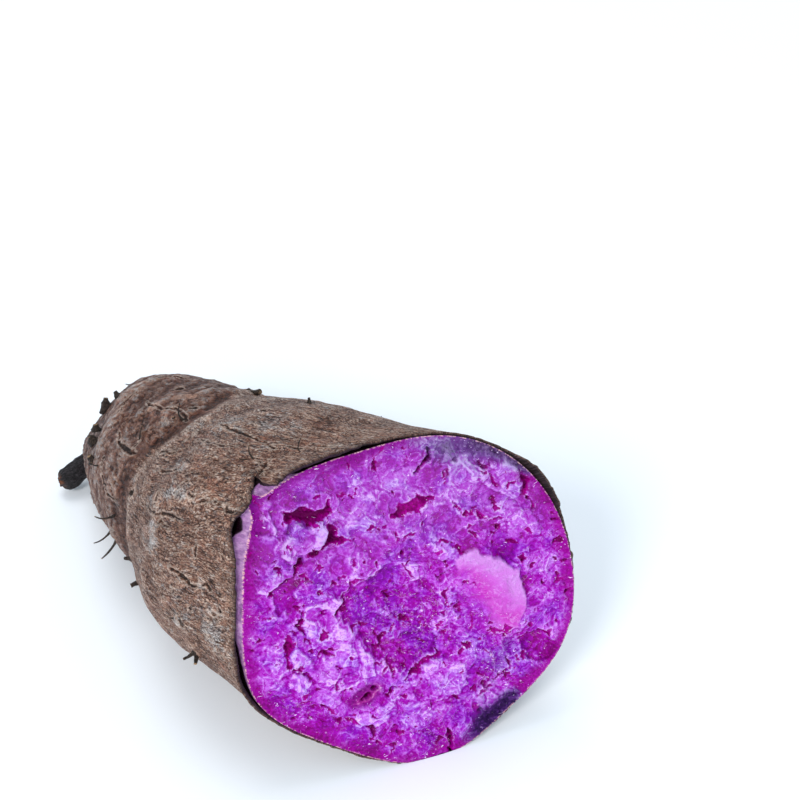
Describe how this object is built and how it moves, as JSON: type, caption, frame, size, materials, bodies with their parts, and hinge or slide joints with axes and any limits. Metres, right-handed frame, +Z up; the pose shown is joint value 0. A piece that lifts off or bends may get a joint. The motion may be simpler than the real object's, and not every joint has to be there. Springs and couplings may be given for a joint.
{
  "type": "purple yam",
  "caption": "Half a steamed purple yam lying on its side, with a broken violet face, wrinkled brown skin, thin root stubs and a tail root.",
  "frame": {"origin": "centre of the bounding box at its base, on the surface the yam lies on", "axes": "+Y from the broken face toward the tail root, +Z up, +X to the right of someone facing along +Y"},
  "size_m": [0.0704, 0.1282, 0.0664],
  "materials": {
    "skin": "dry, bark-like brown skin with fine lengthwise wrinkles",
    "flesh": "moist, crumbly steamed flesh, lilac to deep violet with a magenta rim",
    "root": "dark, dry root stubs"
  },
  "bodies": {
    "root": {"yam": "skin"}
  },
  "joints": []
}
